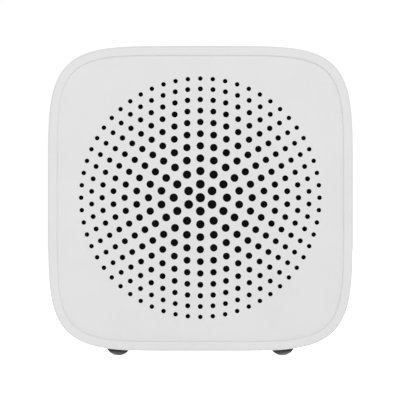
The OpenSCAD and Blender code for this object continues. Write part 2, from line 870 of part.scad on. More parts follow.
module shield_can() {
    color("silver") difference() {
        block(can_at[0], can_at[1], y_board_back, y_board_back + can_h, can_size);
        block(can_at[0], can_at[1], y_board_back - eps, y_board_back + can_h - can_t,
              [can_size[0] - 2 * can_t, can_size[1] - 2 * can_t]);
    }
}

module chips() {
    color([0.15, 0.15, 0.16]) {
        block(can_at[0], can_at[1] + 2, y_board_back, y_board_back + 1.2, [12, 12]);
        block(10, 14, y_board_back, y_board_back + 1, [8, 6]);
        block(22, -8, y_board_back, y_board_back + 0.9, [5, 5]);
        block(-20, -14, y_board_back, y_board_back + 0.9, [4, 4]);
    }
}

module inductors() {
    color([0.3, 0.3, 0.32]) for (x = [12, 20]) block(x, -18, y_board_back, y_board_back + 3, [6, 6]);
}

module capacitors() {
    color("midnightblue") for (p = [[-17, -24], [-27.5, -14]])
        rod(p[0], p[1], y_board_back, y_board_back + 7.7, 3.15);
}

module board_connectors() {
    color("ivory") {
        block(plug_at[0], plug_at[1], y_board_back, y_board_back + 4.8, plug_size);
        block(0, flat_socket_top - 2, y_board_back, y_board_back + 2, [2 * flat_x + 2, 4]);
    }
}

module antenna_board() {
    color("darkgreen") face() translate([-34, -19, box_high]) cube([22, 7, 0.8]);
}

module dc_jack() {
    color([0.12, 0.12, 0.13]) difference() {
        union() {
            block(0, socket_z, y_board_back, y_socket_body, socket_body);
            rod(0, socket_z, y_socket_body - eps, y_socket_mouth, socket_nose_r);
        }
        rod(0, socket_z, y_socket_floor, y_socket_mouth + eps, socket_r);
        rod(0, socket_z, y_socket_floor - 4, y_socket_floor + eps, pin_r + 0.27);
        block(0, socket_z - socket_r + 0.1, y_socket_floor, y_socket_mouth - 2, [2.4, 1.4]);
    }
}

module jack_pin() {
    color("silver") {
        rod(0, socket_z, y_socket_floor - 4, y_socket_floor, pin_r + 0.25);
        rod(0, socket_z, y_socket_floor - eps, y_socket_mouth - 0.8, pin_r);
    }
}

module jack_contact() {
    color("goldenrod") block(0, socket_z - 3.05, y_socket_floor, y_socket_mouth - 2.4, [2, 0.4]);
}

main_shell();
front_grille();
grille_cloth();
cloth_ring();
rear_cover();
cover_screws();
foot_front_left();
foot_front_right();
foot_rear_left();
foot_rear_right();
key_frame();
control_panel();
play_key();
mute_key();
volume_down_key();
volume_up_key();
play_plunger();
mute_plunger();
volume_down_plunger();
volume_up_plunger();
light_guide();
key_board();
switch_bodies();
microphones();
mic_boots();
status_leds();
key_connector();
key_flat_cable();
key_board_screws();
baffle();
baffle_screws();
rear_chamber();
chamber_seal();
driver_gasket();
driver_frame();
driver_screws();
driver_terminal();
surround();
cone();
dust_cap();
coil_former();
coil_winding();
spider();
tinsel_leads();
top_plate();
magnet();
yoke();
lead_red();
lead_black();
main_board();
board_screws();
shield_can();
chips();
inductors();
capacitors();
board_connectors();
antenna_board();
dc_jack();
jack_pin();
jack_contact();
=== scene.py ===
"""Looks of a small cube-shaped smart speaker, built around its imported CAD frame.

Blender works in metres. The builders here take millimetres on the frame's own axes and
scale once, when a mesh is made. The face looks along -Y, Z is up, and outlines of the face
are drawn in X and in height above the middle of the face.
"""

import json
import math

import bmesh
import bpy
from mathutils import Matrix, Vector


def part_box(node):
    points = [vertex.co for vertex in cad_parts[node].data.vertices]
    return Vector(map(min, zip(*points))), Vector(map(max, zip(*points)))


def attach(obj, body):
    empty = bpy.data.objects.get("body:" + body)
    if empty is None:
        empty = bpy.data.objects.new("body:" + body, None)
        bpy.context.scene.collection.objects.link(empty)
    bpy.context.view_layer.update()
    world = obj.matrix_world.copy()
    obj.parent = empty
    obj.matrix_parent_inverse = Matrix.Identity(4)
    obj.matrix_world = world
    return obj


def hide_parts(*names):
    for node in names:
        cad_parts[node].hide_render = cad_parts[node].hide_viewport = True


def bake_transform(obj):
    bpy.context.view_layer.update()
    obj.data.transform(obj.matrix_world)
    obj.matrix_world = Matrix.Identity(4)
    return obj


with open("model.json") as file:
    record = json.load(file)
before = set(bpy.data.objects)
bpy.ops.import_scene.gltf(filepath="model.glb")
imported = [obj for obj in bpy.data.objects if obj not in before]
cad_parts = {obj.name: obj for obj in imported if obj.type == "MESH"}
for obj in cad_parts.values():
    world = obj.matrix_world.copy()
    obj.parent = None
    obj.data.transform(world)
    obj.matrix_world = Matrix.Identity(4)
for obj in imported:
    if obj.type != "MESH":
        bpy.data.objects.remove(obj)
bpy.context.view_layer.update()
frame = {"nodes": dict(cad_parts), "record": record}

MM = 0.001
TAU = 2 * math.pi
SLOTS = {s["node"]: s["material_slot"] for s in frame["record"]["subparts"]}


# ---------- sizes, from the frame ----------

def box_mm(node):
    """Lowest and highest corner of a CAD node, in millimetres."""
    lo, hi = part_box(node)
    return lo / MM, hi / MM


def middle(node):
    """Middle of a CAD node's box, in millimetres."""
    lo, hi = box_mm(node)
    return (lo + hi) / 2


shell_lo, shell_hi = box_mm("main_shell")
HALF = (shell_hi.x - shell_lo.x) / 2            # half the width of the case
ZC = (shell_lo.z + shell_hi.z) / 2              # height of the middle of the face
Y_FRONT, Y_REAR = shell_lo.y, shell_hi.y
Y_CLOTH = box_mm("grille_cloth")[0].y
WALL = 2.2                                      # of the case and of the rear cover
Y_COVER = Y_REAR - WALL                         # inner face of the rear cover
RIM = 2.7                                       # width of the rim round the front panel
CORNER_POWER = 5.156                            # roundness of the case outline
FRONT_EDGE = 0.8                                # radius of the case's front edge
REAR_EDGE = 6.0                                 # radius of its rear edge
OUTLINE_SIDES = 256
CIRCLE_SIDES = 64


# ---------- outlines ----------

def outline(inset, sides=OUTLINE_SIDES):
    """Points of the outline that runs this far inside the case outline."""
    bulge = 2 ** (0.5 - 1 / CORNER_POWER)
    a = HALF - inset
    power = 1 / (0.5 - math.log2((HALF * bulge - inset) / a))
    points = []
    for i in range(sides):
        c, s = math.cos(TAU * i / sides), math.sin(TAU * i / sides)
        points.append((a * math.copysign(abs(c) ** (2 / power), c),
                       a * math.copysign(abs(s) ** (2 / power), s)))
    return points


def case_height(x):
    """Height of the case's top above the middle of the face, at this x."""
    return (HALF ** CORNER_POWER - abs(x) ** CORNER_POWER) ** (1 / CORNER_POWER)


def circle(r, cx=0.0, cy=0.0, sides=CIRCLE_SIDES):
    return [(cx + r * math.cos(TAU * i / sides), cy + r * math.sin(TAU * i / sides))
            for i in range(sides)]


def fillet(corners, closed=True, fineness=6):
    """Points of a polygon of (x, y, radius) corners, each rounded to its radius."""
    points = []
    for i, (x, y, r) in enumerate(corners):
        if r <= 0 or (not closed and i in (0, len(corners) - 1)):
            points.append((x, y))
            continue
        p = Vector((x, y))
        a = (Vector(corners[i - 1][:2]) - p).normalized()
        b = (Vector(corners[(i + 1) % len(corners)][:2]) - p).normalized()
        half_turn = a.angle(b) / 2
        centre = p + (a + b).normalized() * (r / math.sin(half_turn))
        start = p + a * (r / math.tan(half_turn)) - centre
        sweep = math.pi - 2 * half_turn
        if a.x * b.y - a.y * b.x > 0:
            sweep = -sweep
        steps = max(2, round(fineness * math.sqrt(r)))
        for k in range(steps + 1):
            t = sweep * k / steps
            points.append((centre.x + start.x * math.cos(t) - start.y * math.sin(t),
                           centre.y + start.x * math.sin(t) + start.y * math.cos(t)))
    return points


def finer(points, longest):
    """A closed polygon with its sides split until none is longer than longest."""
    out = []
    for p, q in zip(points, points[1:] + points[:1]):
        parts = max(1, math.ceil(math.dist(p, q) / longest))
        out += [(p[0] + (q[0] - p[0]) * k / parts, p[1] + (q[1] - p[1]) * k / parts)
                for k in range(parts)]
    return out


# ---------- mesh builders ----------

def skin(rows, closed=False, capped=False):
    """Quads between equal rings of points. closed joins the last ring to the first, and capped
    puts a face on each end."""
    bm = bmesh.new()
    rings = [[bm.verts.new(p) for p in row] for row in rows]
    pairs = list(zip(rings, rings[1:])) + ([(rings[-1], rings[0])] if closed else [])
    for a, b in pairs:
        for i in range(len(a)):
            j = (i + 1) % len(a)
            bm.faces.new((a[i], a[j], b[j], b[i]))
    if capped:
        bm.faces.new(rings[0])
        bm.faces.new(rings[-1])
    bmesh.ops.remove_doubles(bm, verts=bm.verts, dist=1e-5)
    bmesh.ops.recalc_face_normals(bm, faces=bm.faces)
    return bm


def along_y(x, z):
    """Places a turned ring's point (u, v) at depth h, about the line through x and z."""
    return lambda u, v, h: (x + u, h, ZC + z + v)


def along_z(x, y):
    """Places a turned ring's point (u, v) at height h, about the upright through x and y."""
    return lambda u, v, h: (x + u, y + v, h)


def turned(profile, place, sides=CIRCLE_SIDES):
    """Solid of revolution. The profile is (radius, depth), and closes on itself unless both its
    ends are on the axis."""
    rows = [[place(u, v, h) for u, v in circle(max(r, 0.0), sides=sides)] for r, h in profile]
    return skin(rows, closed=profile[0][0] > 0 or profile[-1][0] > 0)


def prism(points, h0, h1, place):
    """Solid with these points as its outline, from h0 to h1."""
    return skin([[place(u, v, h) for u, v in points] for h in (h0, h1)], capped=True)


def join(*parts):
    """One bmesh of several."""
    whole = parts[0]
    for part in parts[1:]:
        mesh = bpy.data.meshes.new("part")
        part.to_mesh(mesh)
        whole.from_mesh(mesh)
        bpy.data.meshes.remove(mesh)
        part.free()
    return whole


def copied(bm, moves):
    """Copies of a bmesh, moved by each vector."""
    parts = []
    for move in moves:
        part = bm.copy()
        bmesh.ops.translate(part, verts=part.verts, vec=move)
        parts.append(part)
    bm.free()
    return join(*parts)


def plate(loops, thickness, place, back_edge=0.05):
    """Flat plate with holes. loops holds (shape, edge), the outside first: shape(k) gives the
    loop's points k into the material, and edge is the radius of its front edge.
    place(u, v, depth) gives a point. Normals are kept exact on a layer."""
    bm = bmesh.new()
    layer = bm.verts.layers.float_vector.new("exact_normal")
    origin = Vector(place(0, 0, 0))
    out = (Vector(place(0, 0, -1)) - origin).normalized()
    fronts, backs = [], []
    for shape, edge in loops:
        steps = max(2, round(6 * math.sqrt(edge)))
        turns = [math.pi / 2 * k / steps for k in range(steps + 1)]
        rows = [(edge * (1 - math.sin(t)), edge * (1 - math.cos(t)), t) for t in turns]
        rows += [(0, thickness - back_edge, math.pi / 2), (back_edge, thickness, math.pi)]
        aside = [Vector(place(*a, 0)) - Vector(place(*b, 0))
                 for a, b in zip(shape(0), shape(0.01))]
        rings = []
        for k, depth, turn in rows:
            ring = []
            for point, side in zip(shape(k), aside):
                v = bm.verts.new(place(*point, depth))
                v[layer] = math.cos(turn) * out + math.sin(turn) * side.normalized()
                ring.append(v)
            rings.append(ring)
        for a, b in zip(rings, rings[1:]):
            for i in range(len(a)):
                j = (i + 1) % len(a)
                bm.faces.new((a[i], a[j], b[j], b[i]))
        for ring, edges in ((rings[0], fronts), (rings[-1], backs)):
            edges += [bm.edges.get((ring[i], ring[i - 1])) for i in range(len(ring))]
    for edges in (fronts, backs):
        bmesh.ops.triangle_fill(bm, edges=edges, use_beauty=True, use_dissolve=False)
    bmesh.ops.recalc_face_normals(bm, faces=bm.faces)
    return bm


def carve(body, cutters):
    """body less each cutter, by exact booleans."""
    made = []
    for bm in [body, *cutters]:
        mesh = bpy.data.meshes.new("carve")
        bmesh.ops.recalc_face_normals(bm, faces=bm.faces)
        bm.to_mesh(mesh)
        bm.free()
        made.append(bpy.data.objects.new("carve", mesh))
        bpy.context.scene.collection.objects.link(made[-1])
    for tool in made[1:]:
        cut = made[0].modifiers.new("cut", "BOOLEAN")
        cut.operation, cut.solver, cut.object = "DIFFERENCE", "EXACT", tool
    seen = made[0].evaluated_get(bpy.context.evaluated_depsgraph_get())
    result = bmesh.new()
    result.from_mesh(seen.to_mesh())
    seen.to_mesh_clear()
    for o in made:
        mesh = o.data
        bpy.data.objects.remove(o)
        bpy.data.meshes.remove(mesh)
    return result


SHARP_TURN = math.radians(32)


def piece(bm, name, slot, body="housing", replaces=(), inks=(), rides=True):
    """The finished object: smooth with true sharp edges, in its material, on its body."""
    for f in bm.faces:
        f.smooth = True
    for e in bm.edges:
        e.smooth = not (e.is_manifold and e.calc_face_angle() > SHARP_TURN)
    bmesh.ops.transform(bm, matrix=Matrix.Scale(MM, 4), verts=bm.verts)
    mesh = bpy.data.meshes.new(name)
    bm.to_mesh(mesh)
    bm.free()
    obj = bpy.data.objects.new(name, mesh)
    bpy.context.scene.collection.objects.link(obj)
    exact = mesh.attributes.get("exact_normal")
    if exact:
        normals = [tuple(v.vector) for v in exact.data]
        mesh.attributes.remove(exact)
        mesh.normals_split_custom_set_from_vertices(normals)
    else:
        flats = obj.modifiers.new("flat faces stay flat", "WEIGHTED_NORMAL")
        flats.keep_sharp = True
    for key in (slot, *inks):
        mesh.materials.append(surface(key))
    if rides:
        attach(obj, body)
    if replaces:
        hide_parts(*replaces)
    return obj


# ---------- materials ----------

def linear(*rgb):
    """A colour of 0 to 255 screen values, as the linear values that shaders take."""
    values = rgb if len(rgb) == 3 else rgb * 3
    return tuple(((v / 255 + 0.055) / 1.055) ** 2.4 if v > 10 else v / 255 / 12.92
                 for v in values) + (1.0,)


class Surface:
    """A material under construction: its nodes, and textures measured in millimetres."""

    def __init__(self, name):
        self.material = bpy.data.materials.new(name)
        self.material.use_nodes = True
        self.tree = self.material.node_tree
        self.shader = self.tree.nodes["Principled BSDF"]
        self.object = self.node("ShaderNodeTexCoord").outputs["Object"]

    def node(self, kind, inputs=None, **settings):
        made = self.tree.nodes.new(kind)
        for key, value in settings.items():
            setattr(made, key, value)
        for key, value in (inputs or {}).items():
            if isinstance(value, bpy.types.NodeSocket):
                self.tree.links.new(value, made.inputs[key])
            else:
                made.inputs[key].default_value = value
        return made

    def coords(self, stretch=(1, 1, 1), turn=(0, 0, 0)):
        scale = [s / MM for s in stretch]
        return self.node("ShaderNodeMapping", {
            "Vector": self.object, "Scale": scale, "Rotation": turn}).outputs["Vector"]

    def noise(self, per_mm, detail=2.0, stretch=(1, 1, 1)):
        return self.node("ShaderNodeTexNoise", {
            "Vector": self.coords(stretch), "Scale": per_mm, "Detail": detail}).outputs["Fac"]

    def cells(self, per_mm, feature="F1", metric="EUCLIDEAN"):
        return self.node("ShaderNodeTexVoronoi", {
            "Vector": self.coords(), "Scale": per_mm},
            feature=feature, distance=metric).outputs["Distance"]

    def bands(self, pitch_mm, axis, distortion=0.0, turn=(0, 0, 0)):
        """Waves across an axis, one to each pitch."""
        return self.node("ShaderNodeTexWave", {
            "Vector": self.coords(turn=turn), "Scale": TAU / 20 / pitch_mm,
            "Distortion": distortion}, bands_direction=axis).outputs["Fac"]

    def math(self, operation, a, b=0.0):
        return self.node("ShaderNodeMath", {0: a, 1: b}, operation=operation).outputs[0]

    def spread(self, value, low, high, lo=0.0, hi=1.0):
        """value from lo..hi to low..high."""
        return self.node("ShaderNodeMapRange", {
            "Value": value, "From Min": lo, "From Max": hi,
            "To Min": low, "To Max": high}).outputs["Result"]

    def blend(self, factor, a, b):
        made = self.node("ShaderNodeMix", data_type="RGBA")
        for socket, value in ((made.inputs[0], factor), (made.inputs[6], a), (made.inputs[7], b)):
            if isinstance(value, bpy.types.NodeSocket):
                self.tree.links.new(value, socket)
            else:
                socket.default_value = value
        return made.outputs[2]

    def colour(self, value):
        self.tree.links.new(value, self.shader.inputs["Base Color"])

    def roughness(self, value):
        self.tree.links.new(value, self.shader.inputs["Roughness"])

    def bump(self, height, depth_mm, strength=1.0):
        """Bump of this depth, on top of any bump that is there already."""
        under = self.shader.inputs["Normal"].links
        inputs = {"Height": height, "Distance": depth_mm * MM, "Strength": strength}
        if under:
            inputs["Normal"] = under[0].from_socket
        made = self.node("ShaderNodeBump", inputs)
        self.tree.links.new(made.outputs["Normal"], self.shader.inputs["Normal"])

    def set(self, **sockets):
        for key, value in sockets.items():
            self.shader.inputs[key.replace("_", " ")].default_value = value


def moulded(s, tone, rough=0.5, grain=0.006, grain_per_mm=5.0, mottle=0.018):
    """Moulded plastic: fine spark-eroded texture, faint flow mottle, uneven gloss."""
    shade = tuple(c * (1 - mottle) for c in tone[:3]) + (1.0,)
    cloudy = s.spread(s.noise(0.07, 3.0), 0, 1, 0.35, 0.65)
    s.colour(s.blend(cloudy, shade, tone))
    s.roughness(s.spread(s.noise(0.5, 4.0), rough - 0.05, rough + 0.05, 0.3, 0.7))
    s.bump(s.noise(grain_per_mm, 3.0), grain)
    s.set(IOR=1.5)


def rubber(s, tone, rough=0.62, dust=1.5):
    """Moulded rubber with a dust bloom in random patches and a fine skin."""
    bloom = tuple(min(c * dust, 1) for c in tone[:3]) + (1.0,)
    s.colour(s.blend(s.spread(s.noise(0.6, 5.0), 0, 1, 0.4, 0.7), tone, bloom))
    rubber_skin(s, rough)


def rubber_skin(s, rough):
    """Uneven gloss, with a fine skin over shallow waves."""
    s.roughness(s.spread(s.noise(1.2, 3.0), rough - 0.08, rough + 0.1, 0.3, 0.7))
    s.bump(s.noise(9.0, 2.0), 0.008)
    s.bump(s.noise(0.8, 2.0), 0.02)


def painted_light_foot_rubber(s, tone, painted_lit_tone, painted_light_height):
    """Rubber of a foot with painted light: a pale tone is painted on its tip, where the floor lights
    it, and on its outward side. The part up under the case keeps the dark tone as painted shade.
    Random speckle breaks the pale tone up.
    """
    place = s.node("ShaderNodeSeparateXYZ", {0: s.object}).outputs
    # painted light from the floor: paler towards the tip, none above painted_light_height
    low = s.spread(place[2], 1, 0, 0, painted_light_height * MM)
    foot_lo, foot_hi = box_mm("foot_front_right")
    # painted light on the side that faces outwards, weaker on the inner side
    outer = s.spread(s.math("ABSOLUTE", place[0]), 0.15, 1, foot_lo.x * MM, foot_hi.x * MM)
    speckle = s.spread(s.noise(0.8, 5.0), 0.7, 1.0, 0.35, 0.65)
    s.colour(s.blend(s.math("MULTIPLY", s.math("MULTIPLY", low, outer), speckle), tone, painted_lit_tone))
    rubber_skin(s, 0.66)


def metal(s, tone, rough=0.3, stretch=(1, 1, 1), scratch=0.003, stain=0.85):
    """Metal with a directional finish and slightly stained, uneven gloss."""
    dull = tuple(c * stain for c in tone[:3]) + (1.0,)
    s.colour(s.blend(s.spread(s.noise(0.35, 5.0), 0, 1, 0.35, 0.7), tone, dull))
    s.roughness(s.spread(s.noise(2.0, 4.0, stretch), rough - 0.07, rough + 0.1, 0.3, 0.7))
    s.bump(s.noise(7.0, 2.0, stretch), scratch)
    s.set(Metallic=1.0)


def foam(s, tone, per_mm=2.2):
    """Open-cell foam: dark pores between lighter struts."""
    pores = s.cells(per_mm)
    s.colour(s.blend(s.spread(pores, 0, 1, 0.1, 0.6), tone, tuple(c * 2.4 for c in tone[:3]) + (1,)))
    s.roughness(s.spread(s.noise(3.0), 0.85, 1.0))
    s.bump(pores, 0.15)


def weave(s, tone, light, pitch, axes=("X", "Z"), depth=0.05, rough=0.85, sheen=0.3):
    """Plain weave: two crossed sets of yarns, with fibres along them."""
    first, second = (s.bands(pitch, axis) for axis in axes)
    crossing = s.math("MAXIMUM", first, second)
    fibres = s.noise(6.0, 3.0)
    s.colour(s.blend(s.math("MULTIPLY", crossing, fibres), tone, light))
    s.roughness(s.spread(fibres, rough - 0.1, rough + 0.1, 0.3, 0.7))
    s.bump(crossing, depth)
    s.bump(fibres, depth / 4)
    s.set(Specular_IOR_Level=sheen)


def board(s, mask, trace):
    """Circuit board: copper runs under solder mask, and the mask's slight orange peel."""
    runs = None
    for scale, turn in ((0.5, (math.pi / 2, 0, 0)), (0.31, (math.pi / 2, math.pi / 2, 0))):
        brick = s.node("ShaderNodeTexBrick", {
            "Vector": s.coords(turn=turn), "Scale": scale, "Mortar Size": 0.035,
            "Mortar Smooth": 0.3, "Brick Width": 1.7, "Row Height": 0.42}).outputs["Fac"]
        runs = brick if runs is None else s.math("MAXIMUM", runs, brick)
    cloudy = s.noise(0.15, 3.0)
    s.colour(s.blend(s.math("MULTIPLY", runs, cloudy), mask, trace))
    s.roughness(s.spread(s.noise(1.0, 3.0), 0.22, 0.4, 0.3, 0.7))
    s.bump(runs, 0.03)
    s.bump(s.noise(1.6, 2.0), 0.004)


def paper(s, tone, light):
    """Pressed paper pulp with fibres lying every way."""
    one = s.noise(2.2, 5.0, (1, 1, 0.2))
    two = s.noise(2.2, 5.0, (0.2, 1, 1))
    pulp = s.math("MAXIMUM", one, two)
    s.colour(s.blend(s.spread(pulp, 0, 1, 0.45, 0.75), tone, light))
    s.roughness(s.spread(one, 0.75, 0.95))
    s.bump(pulp, 0.05)


def wound(s, tone, dark, pitch, axis="Y", rough=0.3, metallic=1.0):
    """Wire or braid wound side by side across an axis."""
    turns = s.bands(pitch, axis)
    s.colour(s.blend(s.spread(turns, 0, 1, 0.1, 0.6), dark, tone))
    s.roughness(s.spread(s.noise(1.5, 3.0), rough - 0.06, rough + 0.12, 0.3, 0.7))
    s.bump(turns, pitch / 3)
    s.set(Metallic=metallic)


def film(s, tone, light, rough=0.18):
    """Thin polymer film, glossy, with a few ripples."""
    s.colour(s.blend(s.noise(0.4, 3.0), tone, light))
    s.roughness(s.spread(s.noise(1.1, 3.0), rough - 0.06, rough + 0.14, 0.3, 0.7))
    s.bump(s.noise(0.9, 2.0), 0.012)


def striped(s, base, stripe, pitch):
    """Flat cable: conductors in a row under clear film."""
    rows = s.bands(pitch, "X")
    s.colour(s.blend(s.spread(rows, 0, 1, 0.55, 0.7), base, stripe))
    s.roughness(s.spread(s.noise(1.0, 3.0), 0.25, 0.42, 0.3, 0.7))
    s.bump(rows, 0.02)


FINISHES = {
    "shell_white": (moulded, dict(tone=linear(226), rough=0.5)),
    "panel_white": (moulded, dict(tone=linear(226), rough=0.52, grain=0.005)),
    "cover_white": (moulded, dict(tone=linear(222), rough=0.55, grain=0.01, grain_per_mm=3.5)),
    "control_white": (moulded, dict(tone=linear(222), rough=0.5, grain=0.006)),
    "key_white": (moulded, dict(tone=linear(229), rough=0.38, grain=0.003)),
    "icon_ink": (moulded, dict(tone=linear(120), rough=0.6, grain=0.008)),
    # the feet: a pale tone painted on the tip and the outward side as painted light
    "rubber_grey": (painted_light_foot_rubber, dict(tone=linear(16), painted_lit_tone=linear(205), painted_light_height=1.4)),
    "cloth_black": (weave, dict(tone=linear(12), light=linear(34), pitch=0.25, depth=0.01,
                                sheen=0.1)),
    "foam_black": (foam, dict(tone=linear(22))),
    "inner_black": (moulded, dict(tone=linear(30), rough=0.55, grain=0.012, mottle=0.1)),
    "inner_grey": (moulded, dict(tone=linear(112), rough=0.55, grain=0.012, mottle=0.05)),
    "cone_paper": (paper, dict(tone=linear(34), light=linear(66))),
    "surround_rubber": (rubber, dict(tone=linear(26), rough=0.45, dust=1.3)),
    "spider_cloth": (weave, dict(tone=linear(168, 124, 52), light=linear(214, 178, 104), pitch=0.6)),
    "former_film": (film, dict(tone=linear(186, 104, 30), light=linear(214, 138, 52))),
    "copper_wire": (wound, dict(tone=linear(214, 126, 84), dark=linear(120, 56, 34), pitch=0.16)),
    "braid_copper": (wound, dict(tone=linear(222, 150, 96), dark=linear(126, 76, 44), pitch=0.2)),
    "stamped_steel": (metal, dict(tone=linear(126, 128, 132), rough=0.36, scratch=0.004)),
    "plated_steel": (metal, dict(tone=linear(192, 192, 190), rough=0.28)),
    "ferrite": (moulded, dict(tone=linear(58, 58, 62), rough=0.68, grain=0.03, mottle=0.2)),
    "screw_steel": (metal, dict(tone=linear(182, 182, 184), rough=0.3, stretch=(3, 0.4, 3))),
    "screw_dark": (metal, dict(tone=linear(74, 74, 78), rough=0.4, stretch=(3, 0.4, 3))),
    "board_green": (board, dict(mask=linear(18, 74, 46), trace=linear(58, 134, 84))),
    "chip_black": (moulded, dict(tone=linear(34), rough=0.48, grain=0.01, mottle=0.12)),
    "tin_can": (metal, dict(tone=linear(206, 206, 202), rough=0.24, stretch=(1, 1, 0.2))),
    "core_grey": (moulded, dict(tone=linear(78), rough=0.7, grain=0.03, mottle=0.15)),
    "sleeve_silver": (metal, dict(tone=linear(170, 172, 178), rough=0.22, stretch=(1, 0.1, 1))),
    "connector_ivory": (moulded, dict(tone=linear(232, 226, 206), rough=0.45, mottle=0.04)),
    "flat_cable": (striped, dict(base=linear(228), stripe=linear(176), pitch=0.5)),
    "guide_clear": (film, dict(tone=linear(214, 218, 220), light=linear(234, 236, 236))),
    "led_white": (film, dict(tone=linear(236, 226, 150), light=linear(244, 240, 214))),
    "switch_steel": (metal, dict(tone=linear(178, 178, 176), rough=0.32)),
    "switch_black": (moulded, dict(tone=linear(36), rough=0.5, grain=0.006, mottle=0.1)),
    "mic_gold": (metal, dict(tone=linear(226, 190, 118), rough=0.3)),
    "socket_black": (moulded, dict(tone=linear(38), rough=0.42, grain=0.006, mottle=0.1)),
    "contact_brass": (metal, dict(tone=linear(212, 178, 104), rough=0.26)),
    "wire_red": (moulded, dict(tone=linear(176, 30, 28), rough=0.36, grain=0.004, mottle=0.08)),
    "wire_black": (moulded, dict(tone=linear(28), rough=0.36, grain=0.004, mottle=0.1)),
}
made_surfaces = {}


def surface(slot):
    """The material of a slot, made once."""
    if slot not in made_surfaces:
        s = Surface(slot)
        build, values = FINISHES[slot]
        build(s, **values)
        made_surfaces[slot] = s.material
    return made_surfaces[slot]


# ---------- case and feet ----------

FEET = ["foot_front_left", "foot_front_right", "foot_rear_left", "foot_rear_right"]
FOOT_DOME = 3.9                 # radius of the ball that a foot's underside is part of
FOOT_TIP_CUT = 0.06             # height cut off the ball, which leaves a flat tip
FOOT_COLLAR = 3.65              # radius of the part that sits in the case
FOOT_STEM = 1.4                 # radius of the stem that passes through the case
FOOT_SEAT = shell_lo.z + 1.5    # height of the bottom of the foot's pocket
STEM_HOLE = 1.52                # radius of the stem's hole in the case


def mouth(x, y, r, deep, side, flare):
    """Cutter for a round opening through the case's top (side 1) or underside (side -1), down
    to deep, a height above or below the middle. Its edge rounds over into the case's skin."""
    def ring(radius, drop):
        return [(u, v, ZC + side * (case_height(u) - drop)) for u, v in circle(radius, x, y)]
    rows = [[(u, v, ZC + side * deep) for u, v in circle(r, x, y)]]
    steps = 5
    for k in range(steps + 1):
        t = math.pi / 2 * k / steps
        rows.append(ring(r + flare * (1 - math.cos(t)), flare * (1 - math.sin(t)) - 0.02))
    rows.append([(u, v, ZC + side * (HALF + 2)) for u, v in circle(r + flare, x, y)])
    return skin(rows, capped=True)


def case_shell():
    """The sleeve, with a ledge for the baffle and a flange for the rear cover."""
    ledge_front = Y_FRONT + 10.1        # step that the baffle rests on
    ledge_back, ledge_inset = ledge_front + 2, 5.5
    catch = Y_FRONT + 3.4               # plane behind which the panel's hooks catch
    flange_front, flange_inset = Y_COVER - 2, 9
    opening = REAR_EDGE + 0.5           # inset of the opening that the rear cover fills
    profile = fillet([
        (RIM, Y_FRONT, 0.25), (0, Y_FRONT, FRONT_EDGE), (0, Y_REAR, REAR_EDGE),
        (opening, Y_REAR, 0.2), (opening, Y_COVER, 0), (flange_inset, Y_COVER, 0.15),
        (flange_inset, flange_front, 0.15), (4.6, flange_front, 0.3),
        (WALL, flange_front - 2.4, 0.5), (WALL, ledge_back, 0), (ledge_inset, ledge_back, 0.15),
        (ledge_inset, ledge_front, 0.15), (WALL, ledge_front, 0), (WALL, catch, 0),
        (RIM, catch, 0.1)])
    rows = [[(x, y, ZC + z) for x, z in outline(inset)] for inset, y in finer(profile, 8)]
    top_inside = HALF - WALL
    disc_hole = box_mm("control_panel")[1].x + 0.15
    flat_r = box_mm("key_frame")[1].x + 0.2     # levelled inside of the top, for the key frame
    flat_low, flat_high = ZC + top_inside - 1, ZC + top_inside
    cutters = [
        mouth(0, 0, disc_hole, top_inside - 1, 1, 0.25),
        turned([(0, flat_low), (flat_r, flat_low), (flat_r, flat_high), (0, flat_high)],
               along_z(0, 0))]
    for node in FEET:
        at = middle(node)
        cutters.append(mouth(at.x, at.y, FOOT_COLLAR + 0.12, ZC - FOOT_SEAT, -1, 0.15))
        low, high = FOOT_SEAT - 0.1, FOOT_SEAT + 4
        cutters.append(turned([(0, low), (STEM_HOLE, low), (STEM_HOLE, high), (0, high)],
                              along_z(at.x, at.y)))
    piece(carve(skin(rows, closed=True), cutters), "case_shell", SLOTS["main_shell"],
          replaces=["main_shell"])


def feet():
    """Push-in feet: a domed underside, a collar, and a stem with a barbed end inside."""
    dome_z = FOOT_DOME - FOOT_TIP_CUT
    first = math.acos(dome_z / FOOT_DOME)
    last = math.asin(FOOT_COLLAR / FOOT_DOME)
    dome = [(FOOT_DOME * math.sin(t), dome_z - FOOT_DOME * math.cos(t))
            for t in [first + (last - first) * k / 14 for k in range(15)]]
    for node in FEET:
        lo, hi = box_mm(node)
        neck = shell_lo.z + WALL + 0.75
        barb, end = 2.1, 1.2            # widest and last radius of the barbed end
        upper = fillet([(FOOT_COLLAR, dome[-1][1], 0), (FOOT_COLLAR, FOOT_SEAT, 0.12),
                        (FOOT_STEM, FOOT_SEAT, 0.1), (FOOT_STEM, neck, 0.1), (barb, neck, 0.1),
                        (end, hi.z, 0.15), (0, hi.z, 0)], closed=False)
        centre = (lo + hi) / 2
        piece(turned([(0, lo.z)] + dome + upper[1:], along_z(centre.x, centre.y)),
              node.replace("foot", "rubber_foot"), SLOTS[node], replaces=[node])


# ---------- front ----------

RINGS = 10
RING_PITCH = 4.0355             # of the rings of holes, at the middle
RING_SHRINK = 0.0518            # a ring of number k is drawn in by this much times k squared
HOLE_D = 2.78                   # diameter of the middle hole
HOLE_SHRINK = 0.142             # each ring's holes are smaller by this than the last one's
PATTERN_LIFT = 0.24             # height of the middle hole above the middle of the panel
HOLE_SIDES = 32
HOLE_EDGE = 0.05                # radius of a hole's front edge
PANEL_EDGE = 0.1                # radius of the panel's front edge
HOOK_X = 14                     # distance of the hooks from the middle of their side


def front_holes():
    """Centre and radius of each hole: rings of 6, 12, 18 and so on round the middle one."""
    yield 0.0, PATTERN_LIFT, HOLE_D / 2
    for k in range(1, RINGS + 1):
        r = RING_PITCH * k - RING_SHRINK * k * k
        for i in range(6 * k):
            t = math.radians(90 + 60 * i / k)
            yield r * math.cos(t), PATTERN_LIFT + r * math.sin(t), (HOLE_D - HOLE_SHRINK * k) / 2


